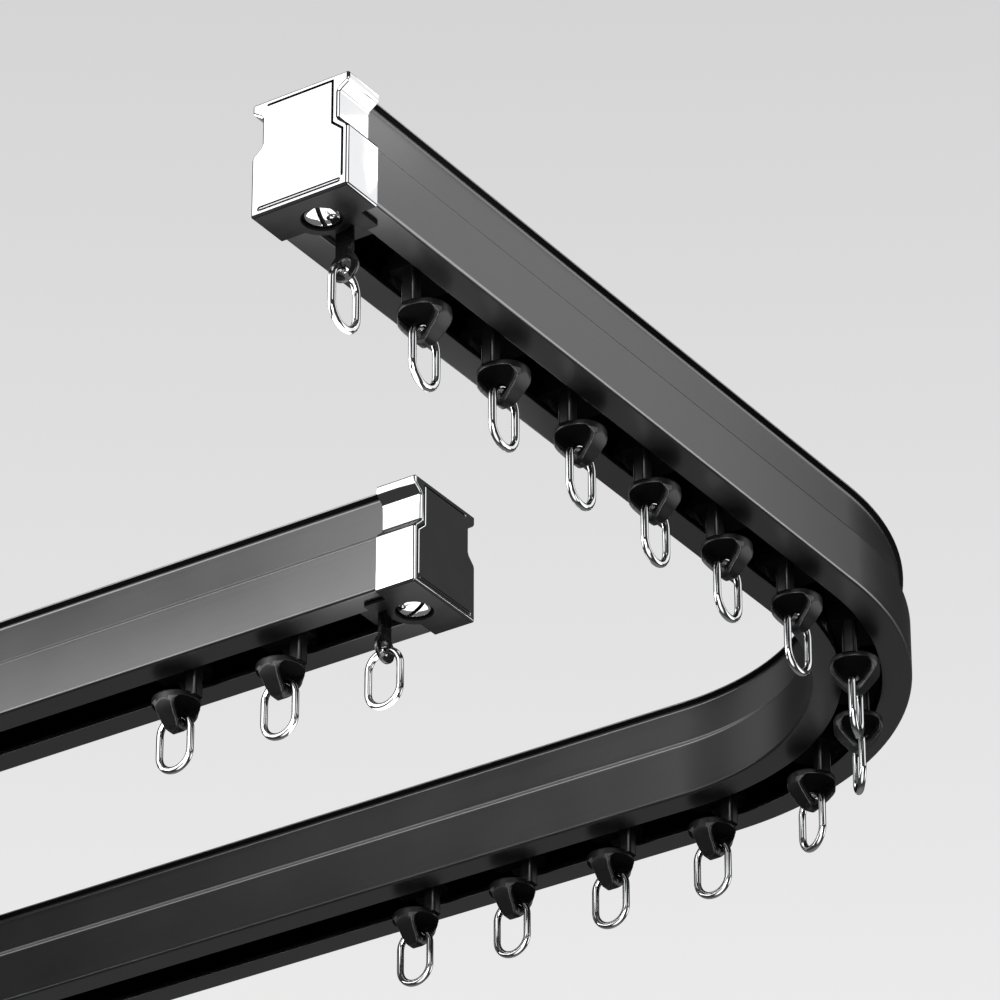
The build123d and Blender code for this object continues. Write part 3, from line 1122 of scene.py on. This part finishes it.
# Planes for the cards that the rail's faces mirror to the camera: the way to the card, and its
# two axes. The first serves the faces towards -Y and the second those towards +X.
FRONT_PLANE = ((-0.481, -0.719, 0.502), (0.8766, -0.3945, 0.2751), (0.0003, 0.572, 0.820))
SIDE_PLANE = ((0.481, 0.719, 0.502), (0.831, -0.556, 0), (0.279, 0.417, -0.865))
# Name, plane, distance, span along both axes, and radiance
CARDS = (
    ("card_front", FRONT_PLANE, 300, (-60, 350), (-330, -95), 1.5),
    ("card_strip", FRONT_PLANE, 298, (-230, 190), (-205, -135), 3.9),
    ("card_cap", FRONT_PLANE, 296, (120, 178), (-112, -46), 1.5),
    ("card_side", SIDE_PLANE, 300, (200, 460), (-180, 120), 0.95),
)
# Small lamps that a cap's screw, corner and flange slope mirror: the way to the lamp, its
# distance and size in metres, and its radiance
SCREW_LAMP = ((-0.25, 0.32, -0.91), 0.035, 0.045, 1.7)
CORNER_LAMP = ((0.719, -0.481, 0.502), 0.15, 0.06, 1.3)
SLOPE_LAMP = ((0.435, 0.719, -0.54), 0.15, 0.05, 1.2)
CORNER_LAMP_Z = -13
# The room that glossy faces mirror: a faint glow all round, and patches of light. Each patch has
# its direction, the cosines where it starts and where it is full, and its radiance.
ROOM_GLOW = 0.04
ROOM_PATCHES = (
    (VIEW_WAY, 0.975, 0.995, 0.35),
    ((-0.48, 0.72, -0.50), 0.55, 0.95, 0.13),
    ((0.69, 0.72, -0.03), 0.94, 0.99, 1.9),
    ((0.30, -0.56, -0.78), 0.78, 0.95, 1.3),
    ((0.44, -0.87, -0.19), 0.93, 0.985, 6.0),
    ((-0.83, -0.24, 0.50), 0.95, 0.99, 0.4),
    ((-0.48, -0.20, 0.85), 0.93, 0.985, 2.0),
)


def make_camera():
    """The photograph's own view: from below, with a long lens."""
    turn = Euler((radians(90 + CAMERA_PITCH), 0, radians(CAMERA_AZIMUTH)))
    bpy.ops.object.camera_add(location=mm(*CAMERA_PLACE), rotation=turn)
    camera = bpy.context.object
    camera.data.lens = LENS
    camera.data.sensor_width = SENSOR
    camera.data.clip_start = 0.01
    camera.data.clip_end = 50
    bpy.context.scene.camera = camera


def softbox(name, place, towards, width, height, radiance):
    """A flat lamp that faces along a direction. The camera doesn't see it."""
    turn = Vector(towards).to_track_quat("-Z", "Y").to_euler()
    bpy.ops.object.light_add(type="AREA", location=place, rotation=turn)
    lamp = bpy.context.object
    lamp.name = name
    lamp.data.shape = "RECTANGLE"
    lamp.data.size = width
    lamp.data.size_y = height
    lamp.data.energy = radiance * width * height * pi
    lamp.visible_camera = False
    return lamp


def card(name, plane, distance, u, v, radiance):
    """A softbox on a plane at a distance from the origin, spanning u and v on it in millimetres."""
    direction, axis_u, axis_v = (Vector(axis).normalized() for axis in plane)
    centre = direction * distance + axis_u * (sum(u) / 2) + axis_v * (sum(v) / 2)
    lamp = softbox(name, centre * MM, -direction, (u[1] - u[0]) * MM, (v[1] - v[0]) * MM, radiance)
    columns = Matrix((axis_u, direction.cross(axis_u), direction)).transposed()
    lamp.rotation_euler = columns.to_euler()


def small_lamp(name, place, way, distance, size, radiance):
    """A small square softbox that faces back to a place on a cap."""
    way = Vector(way)
    softbox(name, place + way * distance, -way, size, size, radiance)


def make_world():
    """Pale paper behind the track, patches of light for glossy faces, and soft light for the rest."""
    world = bpy.data.worlds.new("studio")
    bpy.context.scene.world = world
    world.use_nodes = True
    tree = world.node_tree
    tree.nodes.clear()
    start = Signal(tree)
    seen = start.node("ShaderNodeLightPath", out="Is Camera Ray")
    mirrored_ray = start.node("ShaderNodeLightPath", out="Is Glossy Ray")
    way = start.node("ShaderNodeTexCoord", out="Generated")

    def patch(direction, edge, full, radiance):
        """Light round a direction, from nothing at one cosine to all of it at another."""
        towards = start.node(
            "ShaderNodeVectorMath",
            {"operation": "DOT_PRODUCT"},
            {0: way, 1: Vector(direction).normalized()},
            out="Value",
        )
        return start.node(
            "ShaderNodeMapRange",
            {"interpolation_type": "SMOOTHSTEP"},
            {"Value": towards, "From Min": edge, "From Max": full, "To Max": radiance},
        )

    room = ROOM_GLOW
    for spot in ROOM_PATCHES:
        room = patch(*spot) + room
    height = start.node("ShaderNodeSeparateXYZ", None, {0: way}, out="Z")
    soft = start.node(
        "ShaderNodeMapRange",
        {"interpolation_type": "SMOOTHSTEP"},
        {"Value": height, "From Min": -0.5, "From Max": 0.4, "To Min": 0.3, "To Max": 1.05},
    )
    paper = start.node(
        "ShaderNodeMapRange",
        None,
        {"Value": height, "From Min": 0.43, "From Max": 0.57, "To Min": 0.83, "To Max": 0.66},
    )
    others = mirrored_ray * room + (1 - mirrored_ray) * soft
    strength = seen * paper + (1 - seen) * others
    lit = start.node("ShaderNodeBackground", None, {"Color": (1, 1, 1, 1), "Strength": strength})
    start.node("ShaderNodeOutputWorld", None, {"Surface": lit})


def make_floor():
    """A plain floor of pale paper, far below the track."""
    bpy.ops.object.select_all(action="DESELECT")
    bpy.ops.mesh.primitive_plane_add(size=14, location=(0, 0, -0.86))
    settle()
    floor = bpy.context.object
    floor.name = "floor"
    material, shader, place = new_finish("floor_paper", (0.72, 0.72, 0.715), Roughness=0.9)
    cloud = noise(place, (1, 1, 1), 3.0, 2.0)
    drive(shader, "Base Color", mixed(cloud, (0.70, 0.70, 0.695), (0.74, 0.74, 0.735)))
    floor.data.materials.append(material)
    floor.visible_glossy = False
    floor.visible_diffuse = False


def make_studio():
    """Camera, backdrop and floor, the cards, a few small lamps at each cap, and one overhead."""
    make_camera()
    make_world()
    make_floor()
    for spans in CARDS:
        card(*spans)
    cap_ends = (
        ("front", (FRONT_X, FRONT_END_Y + SCREW_Y), (FRONT_X + CAP_HALF, FRONT_END_Y - CAP_LENGTH)),
        ("inner", (INNER_END_X - SCREW_Y, INNER_Y), (INNER_END_X + CAP_LENGTH, INNER_Y - CAP_HALF)),
    )
    for end, screw, edge in cap_ends:
        small_lamp(f"card_screw_{end}", mm(*screw, CAP_BOTTOM), *SCREW_LAMP)
        small_lamp(f"card_corner_{end}", mm(*edge, CORNER_LAMP_Z), *CORNER_LAMP)
    flange = mm(FRONT_X + CAP_HALF, FRONT_END_Y - CAP_LENGTH / 2, CAP_FLANGE_BOTTOM)
    small_lamp("card_flange", flange, *SLOPE_LAMP)
    softbox("overhead", (0, -0.1, 1.5), (0, 0, -1), 1.6, 1.6, 1.5)


# ---------------------------------------------------------------- the scene

# Several finishes below are painted shade or painted highlight: darker or paler copies of a material
# for hollows, undersides, the slot and edges that catch the light.
finishes = {
    "rail_black": make_rail_black(),
    "rail_painted_shade": make_rail_painted_shade(),
    "rail_painted_highlight": make_rail_painted_highlight(),
    "cap_chrome": make_chrome("cap_chrome", 0.04),
    "cap_painted_shade": make_cap_painted_shade(),
    "painted_shade_line": make_painted_shade_line(),
    "screw_chrome": make_chrome("screw_chrome", 0.05),
    "ring_chrome": make_chrome("ring_chrome", 0.03),
    "hook_black": make_hook_black(),
    "glider_painted_highlight": make_glider_painted_highlight(),
    "glider_black": make_glider_black(),
    "glider_painted_shade": make_glider_painted_shade(),
    "wheel_nylon": make_wheel_nylon_painted_shade(),
    "plate_steel": make_plate_steel(),
}
make_rail(finishes)
make_ends(finishes)
make_gliders(finishes)
make_studio()
bpy.context.scene.view_settings.view_transform = "Standard"
bpy.context.scene.view_settings.look = "None"
